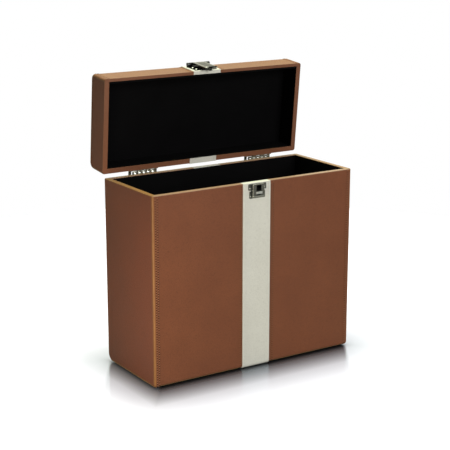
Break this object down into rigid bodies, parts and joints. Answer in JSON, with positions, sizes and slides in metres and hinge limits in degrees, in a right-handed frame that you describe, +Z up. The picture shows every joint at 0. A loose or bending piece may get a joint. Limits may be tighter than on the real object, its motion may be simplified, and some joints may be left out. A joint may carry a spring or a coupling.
{
  "type": "record carrying case",
  "caption": "Upright carrying case for twelve-inch records, with a hinged lid, a sprung front latch with a swinging hasp, and a folding top handle.",
  "frame": {"origin": "middle of the base sheet's underside, where the case stands", "axes": "+Z up, +X along the front to its right, -Y out of the front, which carries the latch"},
  "size_m": [0.368, 0.2203, 0.4666],
  "materials": {
    "leathercloth": "brown grained leathercloth, satin",
    "binding": "tan leathercloth binding, satin",
    "band": "off-white leathercloth, satin",
    "grip": "brown leather over a moulded core",
    "lining": "matt black",
    "board": "plain fibreboard",
    "base_sheet": "matt black",
    "nickel": "bright nickel plate",
    "spring_steel": "drawn wire",
    "pin_steel": "turned steel"
  },
  "bodies": {
    "body": {"base_sheet": "base_sheet", "body_back_band": "band", "body_back_board": "board", "body_back_corner_rail": "board", "body_bottom_board": "board", "body_front_band": "band", "body_front_board": "board", "body_left_board": "board", "body_left_cover": "leathercloth", "body_left_edge_binding": "binding", "body_left_rim_binding": "binding", "body_lining": "lining", "body_right_board": "board", "body_right_cover": "leathercloth", "body_right_edge_binding": "binding", "body_right_rim_binding": "binding", "body_wrap": "leathercloth", "hinge_body_rivets": "nickel", "hinge_pins": "pin_steel", "latch_base_plate": "nickel", "latch_cover": "nickel", "latch_rivets": "nickel", "latch_springs": "spring_steel", "left_hinge_body_leaf": "nickel", "right_hinge_body_leaf": "nickel"},
    "lid": {"bracket_rivets": "nickel", "hasp_leaf": "nickel", "hasp_pin": "pin_steel", "hasp_rivets": "nickel", "hinge_lid_rivets": "nickel", "left_handle_bracket": "nickel", "left_hinge_lid_leaf": "nickel", "lid_back_board": "board", "lid_back_corner_rail": "board", "lid_band": "band", "lid_front_board": "board", "lid_front_corner_rail": "board", "lid_left_board": "board", "lid_left_cover": "leathercloth", "lid_left_edge_binding": "binding", "lid_left_rim_binding": "binding", "lid_lining": "lining", "lid_right_board": "board", "lid_right_cover": "leathercloth", "lid_right_edge_binding": "binding", "lid_right_rim_binding": "binding", "lid_top_board": "board", "lid_wrap": "leathercloth", "right_handle_bracket": "nickel", "right_hinge_lid_leaf": "nickel"},
    "hasp": {"hasp": "nickel"},
    "latch_bolt": {"latch_bolt": "nickel"},
    "handle": {"handle_bail": "nickel", "handle_grip": "grip"}
  },
  "joints": [
    {"name": "lid_hinge", "type": "hinge", "parent": "body", "child": "lid", "pos_m": [0, 0.0805, 0.30015], "axis": [1, 0, 0], "range_deg": [0, 84.4]},
    {"name": "hasp_hinge", "type": "hinge", "parent": "lid", "child": "hasp", "pos_m": [0, 0.09376, 0.46362], "axis": [-1, 0, 0], "range_deg": [0, 165]},
    {"name": "handle_hinge", "type": "hinge", "parent": "lid", "child": "handle", "pos_m": [0, 0.12544, 0.38544], "axis": [1, 0, 0], "range_deg": [0, 180]},
    {"name": "latch_slide", "type": "slide", "parent": "body", "child": "latch_bolt", "axis": [0, 0, -1], "range_m": [0, 0.0025], "stiffness_N_per_m": 150, "springref_m": -0.003, "deforming": ["latch_springs"]}
  ]
}
